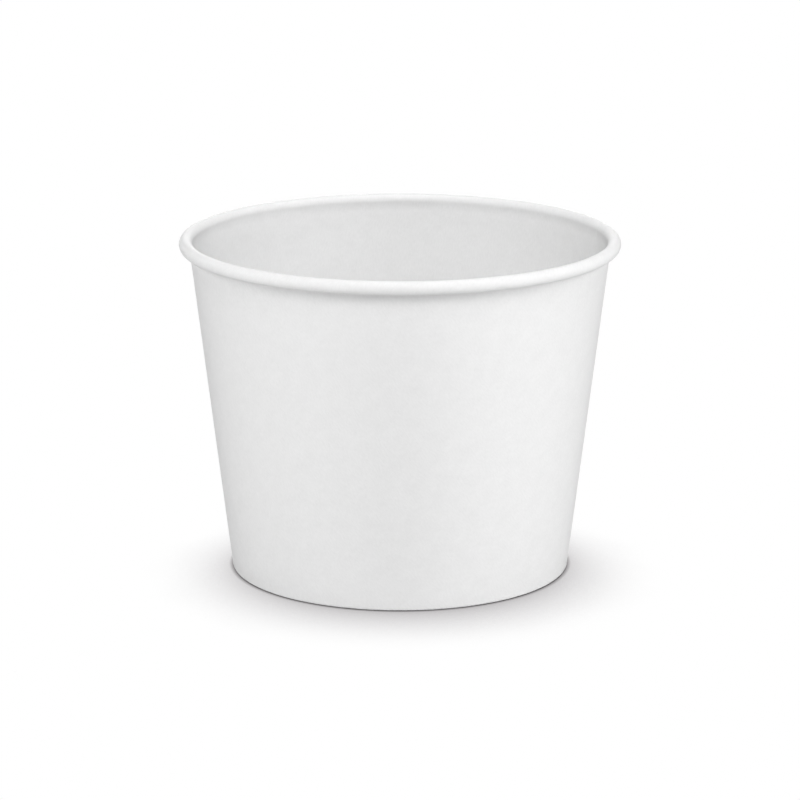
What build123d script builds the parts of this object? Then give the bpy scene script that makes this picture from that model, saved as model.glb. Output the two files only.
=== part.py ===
from build123d import *

import os
from math import acos, asin, atan2, cos, degrees, pi, sin, tan

# A paper soup container: a cone of coated board with a rolled rim, closed by a recessed board disc.
# Millimetres and degrees. It stands on the XY plane with its axis on +Z. The side seam is at +X, a
# little towards +Y, so the clean front faces -Y.
#
# The side wall is one sheet. Its straight edges lap and are heat-sealed, its top edge is curled
# outwards into the rim, and its bottom edge is folded up inside, over the disc's skirt. The sheet is
# drawn from its inner, coated face. A face at some depth below it runs parallel to it, so the fold
# and the curl stay concentric. Bends are drawn as short flats between points on a true arc, which
# keeps the thin, narrow bands of the rim light.

# Overall sizes
rim_diameter = 117.0  # over the rolled rim
container_height = 90.0  # from the table to the top of the rim
base_diameter = 90.2  # outside of the wall, where its line meets the table

# The sheet of the side wall
wall_thickness = 0.45
squeezed_share = 0.85  # of its thickness, that each layer keeps in the sealed lap
lap_width = 7.0
joggle_width = 4.0  # over which the sheet steps out to climb onto its own edge
seam_angle = 8.0  # from +X to the outer cut edge of the lap

# The rolled rim
curl_diameter = 3.5
curl_inset = 0.44  # how far the curl bulges inside the line of the wall
curl_gap = 0.2  # from the curl's cut edge to the wall
neck_radius = 8.2  # the soft bend between the wall and the curl
seen_flat_count = 4  # in each third of the curl, on the face that shows
hidden_flat_count = 2  # the same on the face inside the curl

# The disc, and the fold that holds it
disc_thickness = 0.40
disc_recess = 6.5  # from the table to the underside of the disc
seal_gap = 0.03  # the film of coating on each side of the skirt
hem_drop = 1.6  # from the underside of the disc down to the hem's cut edge
skirt_clearance = 0.5  # from the skirt's cut edge down to the fold
bevel_share = 0.6  # of the depth of the fold's outer face, that each of its corners is cut back

# The two layers of the lap, and the fold
squeezed_thickness = wall_thickness * squeezed_share
lap_thickness = 2 * squeezed_thickness
fold_gap = disc_thickness + 2 * seal_gap
hem_height = disc_recess - hem_drop

# The wall leans so that its outside meets the base circle and its inside runs into the curl
curl_radius = curl_diameter / 2
curl_centre = Vector(rim_diameter / 2 - curl_radius, container_height - curl_radius)
curl_offset = curl_radius - curl_inset  # from the line of the inner face to the curl's centre
curl_reach = curl_centre - Vector(base_diameter / 2, 0)
lean = atan2(curl_reach.X, curl_reach.Y) - asin((curl_offset - wall_thickness) / curl_reach.length)
up_wall = Vector(sin(lean), cos(lean))
out_of_wall = Vector(cos(lean), -sin(lean))
inner_foot = Vector(base_diameter / 2 - wall_thickness / cos(lean), 0)

# The neck is an arc that is tangent to the wall's inner face and to the curl
neck_to_curl = neck_radius + curl_radius  # from centre to centre
neck_turn = acos((neck_radius + curl_offset) / neck_to_curl)
neck_start = (curl_centre - inner_foot).dot(up_wall) - neck_to_curl * sin(neck_turn)
neck_centre = inner_foot + up_wall * neck_start - out_of_wall * neck_radius

# The seam, as angles about the axis
mean_radius = (rim_diameter + base_diameter) / 4
lap_arc = degrees(lap_width / mean_radius)
joggle_arc = degrees(joggle_width / mean_radius)
inner_edge_angle = seam_angle + lap_arc
joggle_end_angle = inner_edge_angle + joggle_arc


def half_plane(angle):
    """The upright half plane at this angle about the axis, with its x pointing outwards."""
    outwards = Vector(1, 0, 0).rotate(Axis.Z, angle)
    return Plane(origin=(0, 0, 0), x_dir=outwards, z_dir=outwards.cross(Vector(0, 0, 1)))


def beside_wall(offset, height):
    """The point at this height and this far outside the wall's inner face, square to the face."""
    return inner_foot + Vector(height * tan(lean) + offset / cos(lean), height)


def bend(centre, radius, start, end, flat_count):
    """The ends of the flats of a bend about this centre, from one angle to another."""
    angles = [start + (end - start) * step / flat_count for step in range(flat_count + 1)]
    return [centre + Vector(cos(angle), sin(angle)) * radius for angle in angles]


def rolled_top(depth, build_up, flat_count):
    """The bends of the neck and the curl at this depth, up to where the curl closes on the wall.

    The curl's three thirds end at its top, at its outermost point and at its cut edge.
    """
    closing = asin((curl_offset - build_up - curl_gap) / curl_radius)
    stations = [pi - lean + neck_turn, pi / 2, 0, -pi / 2 - lean - closing]

    points = bend(neck_centre, neck_radius + depth, -lean, neck_turn - lean, flat_count // 2)
    for start, end in zip(stations, stations[1:]):
        points += bend(curl_centre, curl_radius - depth, start, end, flat_count)[1:]
    return points


def board_outline(near, far):
    """Draw the section of the board that lies between two depths below the sheet's inner face.

    The fold is creased sharply on its inside. It rises with the board that is under it, so that the
    lowest layer stands on the table.
    """
    near_face = Polyline(
        beside_wall(-fold_gap - near, hem_height),
        beside_wall(-fold_gap - near, far - near),
        beside_wall(near, far - near),
        *rolled_top(near, far, seen_flat_count),
    )
    bevel = far * bevel_share
    far_face = Polyline(
        beside_wall(-fold_gap - far, hem_height),
        beside_wall(-fold_gap - far, bevel),
        beside_wall(-fold_gap - far + bevel, 0),
        beside_wall(far - bevel, 0),
        beside_wall(far, bevel),
        *rolled_top(far, far, hidden_flat_count),
    )
    Line(near_face @ 0, far_face @ 0)
    Line(near_face @ 1, far_face @ 1)


with BuildPart() as side_wall:
    # One layer, most of the way round
    with BuildSketch(half_plane(joggle_end_angle)):
        with BuildLine():
            board_outline(0, wall_thickness)
        make_face()
    revolve(axis=Axis.Z, revolution_arc=360 - lap_arc - joggle_arc)

    # Two layers in the lap
    with BuildSketch(half_plane(seam_angle)):
        with BuildLine():
            board_outline(0, lap_thickness)
        make_face()
    revolve(axis=Axis.Z, revolution_arc=lap_arc)

    # The joggle, where the outer layer comes back in past the end of the inner one
    with BuildSketch(half_plane(inner_edge_angle)):
        with BuildLine():
            board_outline(squeezed_thickness, lap_thickness)
        make_face()
    with BuildSketch(half_plane(joggle_end_angle)):
        with BuildLine():
            board_outline(0, wall_thickness)
        make_face()
    loft(ruled=True)

# The disc is punched flat, and its edge is creased down into a skirt that lies against the wall
disc_top = disc_recess + disc_thickness
skirt_end = lap_thickness + skirt_clearance
skirt_inset = seal_gap + disc_thickness

with BuildPart() as base_disc:
    with BuildSketch(Plane.XZ):
        with BuildLine():
            upper_face = Polyline(
                (0, disc_top),
                beside_wall(-seal_gap, disc_top),
                beside_wall(-seal_gap, skirt_end),
            )
            under_face = Polyline(
                (0, disc_recess),
                beside_wall(-skirt_inset, disc_recess),
                beside_wall(-skirt_inset, skirt_end),
            )
            Line(upper_face @ 0, under_face @ 0)
            Line(upper_face @ 1, under_face @ 1)
        make_face()
    revolve(axis=Axis.Z)

side_wall.part.label = "side_wall"
base_disc.part.label = "base_disc"

os.makedirs("parts", exist_ok=True)
export_step(side_wall.part, "parts/side_wall.step")
export_step(base_disc.part, "parts/base_disc.step")
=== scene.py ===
from math import acos, asin, atan2, cos, pi, radians, sin, tan

import bpy
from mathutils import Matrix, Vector


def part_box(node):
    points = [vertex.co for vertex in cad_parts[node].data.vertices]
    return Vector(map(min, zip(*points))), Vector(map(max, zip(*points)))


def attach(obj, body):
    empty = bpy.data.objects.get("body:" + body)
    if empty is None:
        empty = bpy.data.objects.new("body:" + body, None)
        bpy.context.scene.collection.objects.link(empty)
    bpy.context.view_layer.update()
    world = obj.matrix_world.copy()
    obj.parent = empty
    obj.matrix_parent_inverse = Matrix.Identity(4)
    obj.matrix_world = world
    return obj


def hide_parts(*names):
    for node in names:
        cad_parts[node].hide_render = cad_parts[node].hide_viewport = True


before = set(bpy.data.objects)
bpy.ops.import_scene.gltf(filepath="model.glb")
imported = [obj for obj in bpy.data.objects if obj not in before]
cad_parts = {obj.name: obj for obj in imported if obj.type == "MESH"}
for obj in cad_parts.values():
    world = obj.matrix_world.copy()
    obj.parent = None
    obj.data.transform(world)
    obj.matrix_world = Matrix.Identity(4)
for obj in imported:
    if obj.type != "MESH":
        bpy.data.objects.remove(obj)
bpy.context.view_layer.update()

# The camera
# It looks squarely at the clean front of the container, from a little above the rim, and from far
# enough off that the perspective is slight.
look_at = Vector((0, 0, 0.04494))
camera_distance = 0.99697
camera_elevation = radians(14.31)
focal_pixels = 3722.9
picture_pixels = 800

camera_data = bpy.data.cameras.new("camera")
camera_data.lens = focal_pixels / picture_pixels * camera_data.sensor_width
camera = bpy.data.objects.new("camera", camera_data)
towards_camera = Vector((0, -cos(camera_elevation), sin(camera_elevation)))
camera.location = look_at + towards_camera * camera_distance
camera.rotation_euler = towards_camera.to_track_quat("Z", "Y").to_euler()
bpy.context.collection.objects.link(camera)
bpy.context.scene.camera = camera

# The side wall
# One fan-shaped sheet of white coated board, 0.45 mm thick. It is bent round into a cone and its
# straight edges are lapped and heat-sealed. The top edge is curled outwards into the rim, and the
# bottom edge is folded up inside, round the disc's skirt.
board = 0.00045
squeezed_share = 0.85  # of its thickness, that each layer keeps in the sealed lap
base_radius = 0.0451  # outside of the wall, where its line meets the table
curl_radius = 0.00175
curl_inset = 0.00044  # how far the curl bulges inside the line of the wall
neck_radius = 0.0082  # the soft bend between the wall and the curl
disc_board = 0.00040
seal_gap = 0.00003  # the film of coating on each side of the disc's skirt
hem_height = 0.0049  # from the table to the cut edge of the fold
lap_width = 0.007
joggle_width = 0.004  # over which the sheet steps out to climb onto its own edge
seam_angle = radians(8.0)  # from +X to the outer cut edge of the lap

wall_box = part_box("side_wall")
rim_radius = wall_box[1][0]
container_height = wall_box[1][2]
fold_gap = disc_board + 2 * seal_gap
fold_radius = fold_gap / 2  # of the sheet's inner face, round the cut edge of the skirt
mean_radius = (rim_radius + base_radius) / 2
lap_arc = lap_width / mean_radius
joggle_arc = joggle_width / mean_radius

# The section is drawn in a half plane, with x outwards from the axis and y up
curl_centre = Vector((rim_radius - curl_radius, container_height - curl_radius))
curl_offset = curl_radius - curl_inset  # from the line of the inner face to the curl's centre
curl_reach = curl_centre - Vector((base_radius, 0))
lean = atan2(curl_reach.x, curl_reach.y) - asin((curl_offset - board) / curl_reach.length)
up_wall = Vector((sin(lean), cos(lean)))
out_of_wall = Vector((cos(lean), -sin(lean)))
inner_foot = Vector((base_radius - board / cos(lean), 0))
neck_to_curl = neck_radius + curl_radius
neck_turn = acos((neck_radius + curl_offset) / neck_to_curl)
neck_start = (curl_centre - inner_foot).dot(up_wall) - neck_to_curl * sin(neck_turn)
neck_centre = inner_foot + up_wall * neck_start - out_of_wall * neck_radius


def beside_wall(offset, height):
    """The point at this height and this far outside the wall's inner face, square to the face."""
    return inner_foot + Vector((height * tan(lean) + offset / cos(lean), height))


def straight(start, end, facing, steps):
    """Points along a straight part of the sheet's inner face, with the way to its other face."""
    return [(start.lerp(end, step / steps), facing, 0.0) for step in range(steps)]


def bent(centre, radii, angles, steps, side=1, tucks=(0, 0)):
    """Points along a bend, whose radius and tuck change smoothly from its start to its end.

    The sheet's other face lies outside the bend where the side is 1, and inside it where it is -1.
    """
    points = []
    for step in range(steps):
        share = step / steps
        eased = share * share * (3 - 2 * share)
        angle = angles[0] + (angles[1] - angles[0]) * share
        ray = Vector((cos(angle), sin(angle)))
        radius = radii[0] + (radii[1] - radii[0]) * eased
        tuck = tucks[0] + (tucks[1] - tucks[0]) * eased
        points.append((centre + ray * radius, ray * side, tuck))
    return points


# The sheet's inner face, from the cut edge of the fold up to the edge that is tucked into the curl
fold_height = fold_radius + board
fold_centre = beside_wall(-fold_radius, fold_height)
fold_reach = out_of_wall * fold_radius
wall_top = inner_foot + up_wall * neck_start
hem_top = beside_wall(-fold_gap, hem_height)
curl_start = pi - lean + neck_turn
curl_bottom = radians(-78)  # from here on the edge draws in
curl_closed = radians(-162)  # and from here on it lies against the inside of the curl
tail_end = radians(-255)
tail_radius = curl_radius - board - seal_gap
curl_radii, curl_turn = (curl_radius, curl_radius), (curl_start, curl_bottom)
closing_radii, closing_turn = (curl_radius, tail_radius), (curl_bottom, curl_closed)
tail_radii, tail_turn = (tail_radius, tail_radius), (curl_closed, tail_end)

section = straight(hem_top, fold_centre - fold_reach, -out_of_wall, steps=4)
section += bent(fold_centre, (fold_radius, fold_radius), (pi - lean, 2 * pi - lean), steps=12)
section += straight(fold_centre + fold_reach, wall_top, out_of_wall, steps=16)
section += bent(neck_centre, (neck_radius, neck_radius), (-lean, neck_turn - lean), steps=8)
section += bent(curl_centre, curl_radii, curl_turn, steps=30, side=-1)
section += bent(curl_centre, closing_radii, closing_turn, steps=12, side=-1, tucks=(0, 1))
section += bent(curl_centre, tail_radii, tail_turn, steps=8, side=-1, tucks=(1, 1))

# The way along the sheet from its cut edge to each point, for the grain
runs = [0.0]
for (before, _, _), (point, _, _) in zip(section, section[1:]):
    runs.append(runs[-1] + (point - before).length)

section_mesh = bpy.data.meshes.new("side_wall_section")
section_mesh.from_pydata([(point.x, 0, point.y) for point, _, _ in section], [], [])
facings = section_mesh.attributes.new("facing", "FLOAT_VECTOR", "POINT").data
for item, (_, facing, _) in zip(facings, section):
    item.vector = (facing.x, 0, facing.y)
tucks = section_mesh.attributes.new("tuck", "FLOAT", "POINT").data
tucks.foreach_set("value", [tuck for _, _, tuck in section])
lengths = section_mesh.attributes.new("run", "FLOAT", "POINT").data
lengths.foreach_set("value", runs)


def new_tree(name, inputs):
    """A Geometry Nodes tree with these named inputs, and its input node's sockets by name."""
    tree = bpy.data.node_groups.new(name, "GeometryNodeTree")
    for input_name, kind in inputs.items():
        tree.interface.new_socket(name=input_name, in_out="INPUT", socket_type="NodeSocket" + kind)
    tree.interface.new_socket(name="Geometry", in_out="OUTPUT", socket_type="NodeSocketGeometry")
    return tree, tree.nodes.new("NodeGroupInput").outputs


def node(tree, kind, sockets=(), **settings):
    """Add a node. Its sockets, by name or number, take a value or another node's output."""
    made = tree.nodes.new(kind)
    for name, value in settings.items():
        setattr(made, name, value)
    for key, value in dict(sockets).items():
        if isinstance(value, bpy.types.NodeSocket):
            tree.links.new(value, made.inputs[key])
        else:
            made.inputs[key].default_value = value
    return made


def calc(tree, operation, *values):
    """The result of a math node on these values."""
    return node(tree, "ShaderNodeMath", enumerate(values), operation=operation).outputs[0]


def scaled(tree, direction, length):
    """The result of a vector times a number."""
    sockets = {0: direction, "Scale": length}
    return node(tree, "ShaderNodeVectorMath", sockets, operation="SCALE").outputs[0]


def added(tree, *vectors):
    """The sum of two vectors."""
    return node(tree, "ShaderNodeVectorMath", enumerate(vectors), operation="ADD").outputs[0]


def mapped(tree, value, start, end, low, high, easing="LINEAR"):
    """A value mapped from one range onto another, and held at its ends."""
    values = enumerate((value, start, end, low, high))
    return node(tree, "ShaderNodeMapRange", values, interpolation_type=easing).outputs[0]


def stored(tree, geometry, name, kind, domain, value):
    """The geometry with this value kept on it as a named attribute."""
    sockets = {"Geometry": geometry, "Name": name, "Value": value}
    made = node(tree, "GeometryNodeStoreNamedAttribute", sockets, data_type=kind, domain=domain)
    return made.outputs[0]


def read(tree, name, kind):
    """The named attribute, as a field."""
    made = node(tree, "GeometryNodeInputNamedAttribute", {"Name": name}, data_type=kind)
    return made.outputs["Attribute"]


def sampled(tree, geometry, value, kind, index):
    """The value at one point of another geometry."""
    sockets = {"Geometry": geometry, "Value": value, "Index": index}
    made = node(tree, "GeometryNodeSampleIndex", sockets, data_type=kind, domain="POINT")
    return made.outputs[0]


def finished(tree, geometry, material, crease=radians(45)):
    """End a tree: smooth faces, edges sharper than the crease kept sharp, and the material."""
    geometry = node(tree, "GeometryNodeSetShadeSmooth", {"Geometry": geometry}).outputs[0]
    angle = node(tree, "GeometryNodeInputMeshEdgeAngle").outputs["Unsigned Angle"]
    limits = {0: angle, 1: crease}
    sharp = node(tree, "FunctionNodeCompare", limits, operation="GREATER_THAN").outputs[0]
    geometry = stored(tree, geometry, "sharp_edge", "BOOLEAN", "EDGE", sharp)
    geometry = node(tree, "GeometryNodeRealizeInstances", {"Geometry": geometry}).outputs[0]
    sockets = {"Geometry": geometry, "Material": material}
    geometry = node(tree, "GeometryNodeSetMaterial", sockets).outputs[0]
    node(tree, "NodeGroupOutput", {"Geometry": geometry})


def grown(name, mesh, tree, values):
    """A new piece: the tree's result on this mesh, as a plain mesh without the modifier."""
    piece = bpy.data.objects.new(name, mesh)
    bpy.context.collection.objects.link(piece)
    modifier = piece.modifiers.new("form", "NODES")
    modifier.node_group = tree
    for item in tree.interface.items_tree:
        if item.in_out == "INPUT" and item.name in values:
            modifier[item.identifier] = values[item.name]
    depsgraph = bpy.context.evaluated_depsgraph_get()
    result = bpy.data.meshes.new_from_object(piece.evaluated_get(depsgraph), depsgraph=depsgraph)
    piece.modifiers.remove(modifier)
    piece.data = result
    result.name = name
    return piece


# The tree takes a flat slab, with a column of points for each step round the axis and a row for
# each point of the section, and rolls it up
column_count = 320
seam_share = 0.08  # of the columns, that are in the lap and the joggle
layer_blend = 0.005  # radians to each side of a full turn, over which the inner layer is squeezed
slab_offset = 0.5  # from the middle of the slab, which is 1 m long, to its edge
level_face = 0.5  # the least share of a normal that points up or down, for a face to be level

roll, given = new_tree(
    "rolled_board",
    {
        "Section": "Geometry",
        "Columns": "Int",
        "Seam share": "Float",
        "Board": "Float",
        "Squeezed share": "Float",
        "Seam angle": "Float",
        "Lap": "Float",
        "Joggle": "Float",
        "Fold height": "Float",
        "Hem height": "Float",
        "Lean": "Float",
        "Apex": "Float",
        "Material": "Material",
    },
)
rows = node(roll, "GeometryNodeAttributeDomainSize", {"Geometry": given["Section"]}).outputs[0]
slab_sockets = {
    "Size": (1, 1, 1),
    "Vertices X": given["Columns"],
    "Vertices Y": rows,
    "Vertices Z": 2,
}
slab = node(roll, "GeometryNodeMeshCube", slab_sockets).outputs["Mesh"]
position = node(roll, "GeometryNodeInputPosition").outputs[0]
slab_place = node(roll, "ShaderNodeSeparateXYZ", {0: position}).outputs
across, along, through = [calc(roll, "ADD", slab_place[axis], slab_offset) for axis in range(3)]

# The turn from the outer cut edge of the lap, with finer columns in the lap and the joggle
seam_turn = calc(roll, "ADD", given["Lap"], given["Joggle"])
plain_turn = calc(roll, "SUBTRACT", 2 * pi, given["Joggle"])
seam_part = mapped(roll, across, 0, given["Seam share"], 0, seam_turn)
plain_part = mapped(roll, across, given["Seam share"], 1, 0, plain_turn)
turn = calc(roll, "ADD", seam_part, plain_part)

# How far a place is in the outer layer of the lap, or in the inner one
outer_layer = mapped(roll, turn, given["Lap"], seam_turn, 1, 0, "SMOOTHSTEP")
inner_start, inner_end = 2 * pi - layer_blend, 2 * pi + layer_blend
inner_layer = mapped(roll, turn, inner_start, inner_end, 0, 1, "SMOOTHSTEP")
in_lap = calc(roll, "ADD", outer_layer, inner_layer)
squeezed = calc(roll, "MULTIPLY", given["Board"], given["Squeezed share"])
lost = calc(roll, "SUBTRACT", given["Board"], squeezed)
thickness = calc(roll, "SUBTRACT", given["Board"], calc(roll, "MULTIPLY", lost, in_lap))
build_up = calc(roll, "MULTIPLY", calc(roll, "SUBTRACT", squeezed, lost), in_lap)

row = calc(roll, "ROUND", calc(roll, "MULTIPLY", along, calc(roll, "SUBTRACT", rows, 1)))
section_point = sampled(roll, given["Section"], position, "FLOAT_VECTOR", row)
facing = read(roll, "facing", "FLOAT_VECTOR")
section_facing = sampled(roll, given["Section"], facing, "FLOAT_VECTOR", row)
section_tuck = sampled(roll, given["Section"], read(roll, "tuck", "FLOAT"), "FLOAT", row)
section_run = sampled(roll, given["Section"], read(roll, "run", "FLOAT"), "FLOAT", row)

# The outer layer lies a layer's depth below the inner face, and the tucked edge gives way to both
depth = calc(roll, "MULTIPLY", outer_layer, squeezed)
depth = calc(roll, "ADD", depth, calc(roll, "MULTIPLY", section_tuck, build_up))
depth = calc(roll, "ADD", depth, calc(roll, "MULTIPLY", through, thickness))
height = node(roll, "ShaderNodeSeparateXYZ", {0: section_point}).outputs[2]
lifted_share = mapped(roll, height, given["Fold height"], given["Hem height"], 1, 0)
lift = calc(roll, "MULTIPLY", lifted_share, build_up)
up_sockets = {0: calc(roll, "SINE", given["Lean"]), 2: calc(roll, "COSINE", given["Lean"])}
up_the_wall = node(roll, "ShaderNodeCombineXYZ", up_sockets).outputs[0]
place = added(roll, section_point, scaled(roll, section_facing, depth))
place = added(roll, place, scaled(roll, up_the_wall, lift))
place = node(roll, "ShaderNodeSeparateXYZ", {0: place}).outputs
heading = calc(roll, "ADD", turn, given["Seam angle"])
place_sockets = {
    0: calc(roll, "MULTIPLY", place[0], calc(roll, "COSINE", heading)),
    1: calc(roll, "MULTIPLY", place[0], calc(roll, "SINE", heading)),
    2: place[2],
}
rolled_place = node(roll, "ShaderNodeCombineXYZ", place_sockets).outputs[0]

# Each place on the flat blank, for the grain, and which faces are coated or cut. The slab's lower
# face is the coated one, and its four narrow sides are the cut edges.
blank_radius = calc(roll, "ADD", given["Apex"], section_run)
blank_turn = calc(roll, "MULTIPLY", turn, calc(roll, "SINE", given["Lean"]))
blank_sockets = {
    0: calc(roll, "MULTIPLY", blank_radius, calc(roll, "SINE", blank_turn)),
    1: calc(roll, "MULTIPLY", blank_radius, calc(roll, "COSINE", blank_turn)),
}
blank_place = node(roll, "ShaderNodeCombineXYZ", blank_sockets).outputs[0]
normal = node(roll, "GeometryNodeInputNormal").outputs[0]
upward = node(roll, "ShaderNodeSeparateXYZ", {0: normal}).outputs[2]
is_coated = calc(roll, "LESS_THAN", upward, -level_face)
is_cut = calc(roll, "LESS_THAN", calc(roll, "ABSOLUTE", upward), level_face)
slab = stored(roll, slab, "blank", "FLOAT2", "CORNER", blank_place)
slab = stored(roll, slab, "coated", "FLOAT", "FACE", is_coated)
slab = stored(roll, slab, "cut", "FLOAT", "FACE", is_cut)
rolled_sockets = {"Geometry": slab, "Position": rolled_place}
rolled = node(roll, "GeometryNodeSetPosition", rolled_sockets).outputs[0]
finished(roll, rolled, given["Material"])

board_colour = (0.885, 0.885, 0.885, 1)
board_shine = 0.05  # where 0.5 is the usual gloss of a plain surface
raw_colour = (0.78, 0.76, 0.72, 1)  # of the cut edges, which show the middle of the board
# The near-clear coat is tinted grey. Face on, it tones the board a little; seen at a slant, it
# paints shade on the board, so the wall darkens towards its edges.
slant_shade_tint = (0.945, 0.945, 0.945, 1)  # painted shade, most at a slant
film_refraction = 1.02
film_roughness = 0.3
plain_roughness = 0.66
coated_roughness = 0.46
roughness_change = 0.04  # up or down, from cloud to cloud
cloud_scale = 260  # clouds of clumped fibres to the metre
cloud_detail = 4
cloud_shades = (0.983, 1.01)  # times the board's colour
fibre_scale = 2300  # fibres to the metre
fibre_stretch = 0.35  # the fibres lie more along one way of the sheet
fibre_detail = 2
fibre_fineness = 0.6  # how much each finer layer of the noise adds
fibre_shades = (0.975, 1.018)
cloud_relief = 0.6  # the share of the clouds in the relief
relief_depth = 0.00002
relief_strength = 0.35
usual_noise = (0.3, 0.7)  # between these lie nearly all values of a noise


def spread(tree, noise, low, high):
    """A noise, whose usual values are spread over this range."""
    return mapped(tree, noise, *usual_noise, low, high)


def paper(name, grain_map=None):
    """White board, cloudy and finely fibrous, smoother where coated and raw where cut."""
    material = bpy.data.materials.new(name)
    material.use_nodes = True
    tree = material.node_tree
    shader = tree.nodes["Principled BSDF"].inputs
    shader["Specular IOR Level"].default_value = board_shine
    # A grey-tinted, near-clear coat paints shade on the board seen at a slant
    shader["Coat Weight"].default_value = 1
    shader["Coat IOR"].default_value = film_refraction
    shader["Coat Roughness"].default_value = film_roughness
    shader["Coat Tint"].default_value = slant_shade_tint
    if grain_map:
        grain = node(tree, "ShaderNodeUVMap", uv_map=grain_map).outputs[0]
    else:
        grain = node(tree, "ShaderNodeTexCoord").outputs["Object"]
    coated = node(tree, "ShaderNodeAttribute", attribute_name="coated").outputs["Fac"]
    cut = node(tree, "ShaderNodeAttribute", attribute_name="cut").outputs["Fac"]
    stretch = {"Vector": grain, "Scale": (1, fibre_stretch, 1)}
    stretched = node(tree, "ShaderNodeMapping", stretch).outputs[0]
    cloud_sockets = {"Vector": grain, "Scale": cloud_scale, "Detail": cloud_detail}
    clouds = node(tree, "ShaderNodeTexNoise", cloud_sockets).outputs["Fac"]
    fibre_sockets = {
        "Vector": stretched,
        "Scale": fibre_scale,
        "Detail": fibre_detail,
        "Roughness": fibre_fineness,
    }
    fibres = node(tree, "ShaderNodeTexNoise", fibre_sockets).outputs["Fac"]

    cloud_shade = spread(tree, clouds, *cloud_shades)
    fibre_shade = spread(tree, fibres, *fibre_shades)
    shade = calc(tree, "MULTIPLY", cloud_shade, fibre_shade)
    colours = {0: cut, 6: board_colour, 7: raw_colour}
    plain = node(tree, "ShaderNodeMix", colours, data_type="RGBA").outputs[2]
    tree.links.new(scaled(tree, plain, shade), shader["Base Color"])

    roughness = mapped(tree, coated, 0, 1, plain_roughness, coated_roughness)
    change = spread(tree, clouds, -roughness_change, roughness_change)
    tree.links.new(calc(tree, "ADD", roughness, change), shader["Roughness"])
    cloud_height = calc(tree, "MULTIPLY", clouds, cloud_relief)
    fibre_height = calc(tree, "MULTIPLY", fibres, 1 - cloud_relief)
    relief = calc(tree, "ADD", cloud_height, fibre_height)
    bump_sockets = {"Strength": relief_strength, "Distance": relief_depth, "Height": relief}
    tree.links.new(node(tree, "ShaderNodeBump", bump_sockets).outputs[0], shader["Normal"])
    return material


wall_values = {
    "Columns": column_count,
    "Seam share": seam_share,
    "Board": board,
    "Squeezed share": squeezed_share,
    "Seam angle": seam_angle,
    "Lap": lap_arc,
    "Joggle": joggle_arc,
    "Fold height": fold_height,
    "Hem height": hem_height,
    "Lean": lean,
    "Apex": inner_foot.x / sin(lean),
    "Material": paper("white_board", "blank"),
}
side_wall = grown("side_wall_board", section_mesh, roll, wall_values)
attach(side_wall, "root")
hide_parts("side_wall")

# The base disc
# A round disc punched from thinner board of the same kind. Its edge is drawn down into a skirt,
# which is sealed between the wall and the fold.
disc_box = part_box("base_disc")
disc_top = disc_box[1][2]
skirt_end = disc_box[0][2]
corner_radius = disc_board  # of the soft crease between the disc and its skirt, under the board
segment_count = 256

disc_under = disc_top - disc_board
outer_corner = corner_radius + disc_board
corner_centre = beside_wall(-seal_gap - outer_corner, disc_top - outer_corner)


def flat(start, end, steps):
    """Points along a straight part of the disc's outline."""
    return [start.lerp(end, step / steps) for step in range(steps)]


def corner(centre, radius, start, end, steps):
    """Points along a round corner of the disc's outline."""
    angles = [start + (end - start) * step / steps for step in range(steps)]
    return [centre + Vector((cos(angle), sin(angle))) * radius for angle in angles]


skirt_foot = beside_wall(-seal_gap, skirt_end)
skirt_back = beside_wall(-seal_gap - disc_board, skirt_end)
outline = flat(Vector((0, disc_top)), Vector((corner_centre.x, disc_top)), steps=6)
outline += corner(corner_centre, outer_corner, pi / 2, -lean, steps=10)
outline += flat(corner_centre + out_of_wall * outer_corner, skirt_foot, steps=6)
coated_rows = len(outline)
outline += flat(skirt_foot, skirt_back, steps=1)
outline += flat(skirt_back, corner_centre + out_of_wall * corner_radius, steps=6)
outline += corner(corner_centre, corner_radius, -lean, pi / 2, steps=8)
outline += flat(Vector((corner_centre.x, disc_under)), Vector((0, disc_under)), steps=6)
outline.append(Vector((0, disc_under)))

outline_mesh = bpy.data.meshes.new("base_disc_section")
outline_mesh.from_pydata([(point.x, 0, point.y) for point in outline], [], [])

# The tree takes a ball, one ring of points for each point of the outline, and gives it this outline
turned, given = new_tree(
    "turned_board",
    {"Section": "Geometry", "Segments": "Int", "Coated rows": "Int", "Material": "Material"},
)
rows = node(turned, "GeometryNodeAttributeDomainSize", {"Geometry": given["Section"]}).outputs[0]
rings = calc(turned, "SUBTRACT", rows, 1)
ball_sockets = {"Segments": given["Segments"], "Rings": rings, "Radius": 1}
ball = node(turned, "GeometryNodeMeshUVSphere", ball_sockets).outputs["Mesh"]
position = node(turned, "GeometryNodeInputPosition").outputs[0]
ball_place = node(turned, "ShaderNodeSeparateXYZ", {0: position}).outputs
polar = calc(turned, "ARCCOSINE", ball_place[2])
ring = calc(turned, "ROUND", calc(turned, "MULTIPLY", calc(turned, "DIVIDE", polar, pi), rings))
heading = calc(turned, "ARCTAN2", ball_place[1], ball_place[0])
outline_point = sampled(turned, given["Section"], position, "FLOAT_VECTOR", ring)
outline_place = node(turned, "ShaderNodeSeparateXYZ", {0: outline_point}).outputs
place_sockets = {
    0: calc(turned, "MULTIPLY", outline_place[0], calc(turned, "COSINE", heading)),
    1: calc(turned, "MULTIPLY", outline_place[0], calc(turned, "SINE", heading)),
    2: outline_place[2],
}
turned_place = node(turned, "ShaderNodeCombineXYZ", place_sockets).outputs[0]
is_coated = calc(turned, "LESS_THAN", ring, given["Coated rows"])
ball = stored(turned, ball, "coated", "FLOAT", "POINT", is_coated)
turned_sockets = {"Geometry": ball, "Position": turned_place}
shaped = node(turned, "GeometryNodeSetPosition", turned_sockets).outputs[0]
finished(turned, shaped, given["Material"])

disc_values = {
    "Segments": segment_count,
    "Coated rows": coated_rows,
    "Material": paper("white_disc_board"),
}
base_disc = grown("base_disc_board", outline_mesh, turned, disc_values)
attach(base_disc, "root")
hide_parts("base_disc")

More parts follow.
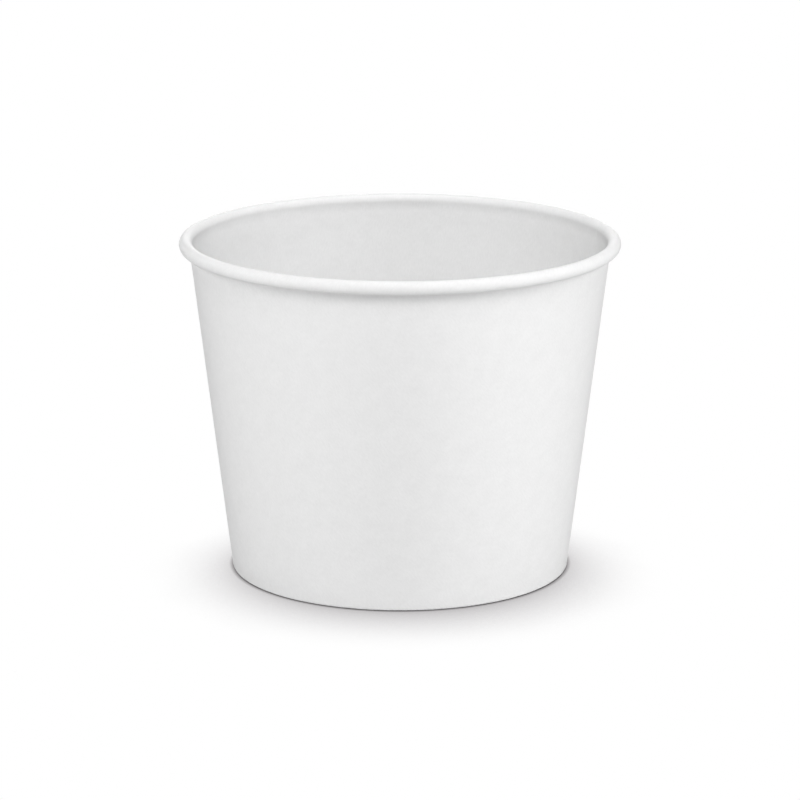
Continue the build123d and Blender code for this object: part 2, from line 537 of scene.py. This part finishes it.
# The knurl of the fold
# A ring of short upright ribs, which a knurled wheel presses into the fold from inside the recess
# while the heat seal is still soft, so that the fold grips the disc's skirt.
rib_count = 180
rib_size = Vector((0.00006, 0.00024, 0.0015))  # half its height, width and length
rib_height = 0.0028  # from the table to the middle of a rib
rib_facets = 8
rib_crease = radians(80)
search_radius = 0.03  # of the ring from which each rib looks outwards, as far again, for the fold

knurl, given = new_tree(
    "pressed_ribs",
    {
        "Geometry": "Geometry",
        "Wall": "Object",
        "Count": "Int",
        "Rib size": "Vector",
        "Height": "Float",
        "Search radius": "Float",
        "Lean": "Float",
        "Material": "Material",
    },
)
ring_sockets = {"Vertices": given["Count"], "Radius": given["Search radius"]}
ring_points = node(knurl, "GeometryNodeMeshCircle", ring_sockets).outputs[0]
ring_lift = node(knurl, "ShaderNodeCombineXYZ", {2: given["Height"]}).outputs[0]
lift_sockets = {"Geometry": ring_points, "Offset": ring_lift}
ring_points = node(knurl, "GeometryNodeSetPosition", lift_sockets).outputs[0]
position = node(knurl, "GeometryNodeInputPosition").outputs[0]
level_sockets = {0: position, 1: (1, 1, 0)}
level = node(knurl, "ShaderNodeVectorMath", level_sockets, operation="MULTIPLY").outputs[0]
outwards = node(knurl, "ShaderNodeVectorMath", {0: level}, operation="NORMALIZE").outputs[0]
wall = node(knurl, "GeometryNodeObjectInfo", {"Object": given["Wall"]})
look_sockets = {
    "Target Geometry": wall.outputs["Geometry"],
    "Source Position": position,
    "Ray Direction": outwards,
    "Ray Length": given["Search radius"],
}
found = node(knurl, "GeometryNodeRaycast", look_sockets).outputs["Hit Position"]
upright = node(knurl, "ShaderNodeCombineXYZ", {2: calc(knurl, "COSINE", given["Lean"])}).outputs[0]
along_fold = added(knurl, scaled(knurl, outwards, calc(knurl, "SINE", given["Lean"])), upright)
turn_axes = {"Primary Axis": along_fold, "Secondary Axis": outwards}
turn_settings = {"primary_axis": "Z", "secondary_axis": "X"}
rib_turn = node(knurl, "FunctionNodeAxesToRotation", turn_axes, **turn_settings).outputs[0]
found_sockets = {"Geometry": ring_points, "Position": found}
ring_points = node(knurl, "GeometryNodeSetPosition", found_sockets).outputs[0]
rib_sockets = {"Segments": rib_facets, "Rings": rib_facets, "Radius": 1}
rib = node(knurl, "GeometryNodeMeshUVSphere", rib_sockets).outputs["Mesh"]
ribs_sockets = {
    "Points": ring_points,
    "Instance": rib,
    "Rotation": rib_turn,
    "Scale": given["Rib size"],
}
ribs = node(knurl, "GeometryNodeInstanceOnPoints", ribs_sockets).outputs[0]
finished(knurl, ribs, given["Material"], rib_crease)

knurl_values = {
    "Wall": side_wall,
    "Count": rib_count,
    "Rib size": rib_size,
    "Height": rib_height,
    "Search radius": search_radius,
    "Lean": lean,
    "Material": paper("pressed_board"),
}
fold_knurl = grown("fold_knurl", bpy.data.meshes.new("fold_knurl_start"), knurl, knurl_values)
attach(fold_knurl, "root")

# The floor
# A smooth pale surface that runs out of sight on all sides. The eye sees it glowing as white as the
# room, with a soft painted shadow round the container: the glow dims where ambient occlusion finds
# it near.
floor_half_side = 3.0
shadow_reach = 0.055  # how far off the container still dims the glow, in the painted shadow
contact_reach = 0.0012  # the same, for the painted dark line where the container stands
open_floor = 1.37  # the brightness of the open floor, where 1 is white
sky_lean = (-0.035, 0.27, 1)  # towards the painted shadow's light: above, a little to the back and the left
shadow_samples = 16
# the pinkish colour of the painted shadow
shadow_tint = (1, 0.95, 0.975, 1)
white = (1, 1, 1, 1)
floor_colour = (0.8, 0.8, 0.8, 1)  # of the light that it gives back to the container

floor_mesh = bpy.data.meshes.new("floor")
floor_corners = [(-1, -1), (1, -1), (1, 1), (-1, 1)]
floor_points = [(x * floor_half_side, y * floor_half_side, 0) for x, y in floor_corners]
floor_mesh.from_pydata(floor_points, [], [(0, 1, 2, 3)])
floor = bpy.data.objects.new("floor", floor_mesh)
bpy.context.collection.objects.link(floor)

floor_material = bpy.data.materials.new("white_floor")
floor_material.use_nodes = True
tree = floor_material.node_tree
tree.nodes.clear()
seen = node(tree, "ShaderNodeLightPath").outputs
shown = calc(tree, "MAXIMUM", seen["Is Camera Ray"], seen["Is Glossy Ray"])
matt = node(tree, "ShaderNodeBsdfDiffuse", {"Color": floor_colour}).outputs[0]
sky = node(tree, "ShaderNodeCombineXYZ", enumerate(sky_lean)).outputs[0]
shaded = "ShaderNodeAmbientOcclusion"
reached_sockets = {"Distance": shadow_reach, "Normal": sky}
reached = node(tree, shaded, reached_sockets, samples=shadow_samples).outputs["AO"]
clear = node(tree, shaded, {"Distance": contact_reach}, samples=shadow_samples).outputs["AO"]
# The glow is dimmed into the painted soft shadow
brightness = calc(tree, "MINIMUM", calc(tree, "MULTIPLY", reached, open_floor), 1)
# and darkened again in the painted dark line where the container stands
brightness = calc(tree, "MULTIPLY", brightness, clear)
tint_sockets = {0: brightness, 6: shadow_tint, 7: white}
tinted = node(tree, "ShaderNodeMix", tint_sockets, data_type="RGBA").outputs[2]
glow = node(tree, "ShaderNodeEmission", {"Color": tinted, "Strength": brightness}).outputs[0]
whole = node(tree, "ShaderNodeMixShader", {0: shown, 1: matt, 2: glow}).outputs[0]
node(tree, "ShaderNodeOutputMaterial", {"Surface": whole})
floor_mesh.materials.append(floor_material)

# The room
# Its white walls are seen behind the container, but all the light comes from the softboxes.
world = bpy.data.worlds.new("room")
world.use_nodes = True
bpy.context.scene.world = world
tree = world.node_tree
tree.nodes.clear()
seen = node(tree, "ShaderNodeLightPath").outputs
shown = calc(tree, "MAXIMUM", seen["Is Camera Ray"], seen["Is Transmission Ray"])
shown = calc(tree, "MAXIMUM", shown, seen["Is Glossy Ray"])
backdrop = node(tree, "ShaderNodeBackground", {"Color": white, "Strength": shown}).outputs[0]
node(tree, "ShaderNodeOutputWorld", {"Surface": backdrop})

# The lamps
# Oval softboxes, all at the same distance and turned to the container. The low strips light its
# sides but not its inside, and the right ones are stronger than the left ones.
lamp_distance = 1.2
lamp_width = 0.6
lamps = {  # degrees to the right of the camera, degrees above the table, height, and watts
    "high_front": (0, 50, 0.6, 6.1),
    "left_front": (-45, 30, 0.6, 2.7),
    "right_front": (45, 30, 0.6, 2.8),
    "left": (-85, 30, 0.6, 3.3),
    "right": (85, 30, 0.6, 4.3),
    "left_strip": (-85, 4, 0.2, 1.6),
    "right_strip": (85, 4, 0.2, 2.6),
    "back": (180, 12, 0.6, 2.1),
    "high_back": (180, 70, 0.6, 4.35),
}
for name, (turned_right, raised, lamp_height, power) in lamps.items():
    across, upwards = radians(turned_right), radians(raised)
    ray = Vector((sin(across) * cos(upwards), -cos(across) * cos(upwards), sin(upwards)))
    light = bpy.data.lights.new(name, "AREA")
    light.shape = "ELLIPSE"
    light.size, light.size_y = lamp_width, lamp_height
    light.energy = power
    lamp = bpy.data.objects.new(name, light)
    lamp.location = look_at + ray * lamp_distance
    lamp.rotation_euler = ray.to_track_quat("Z", "Y").to_euler()
    lamp.visible_camera = False
    bpy.context.collection.objects.link(lamp)

bpy.context.scene.view_settings.view_transform = "Standard"
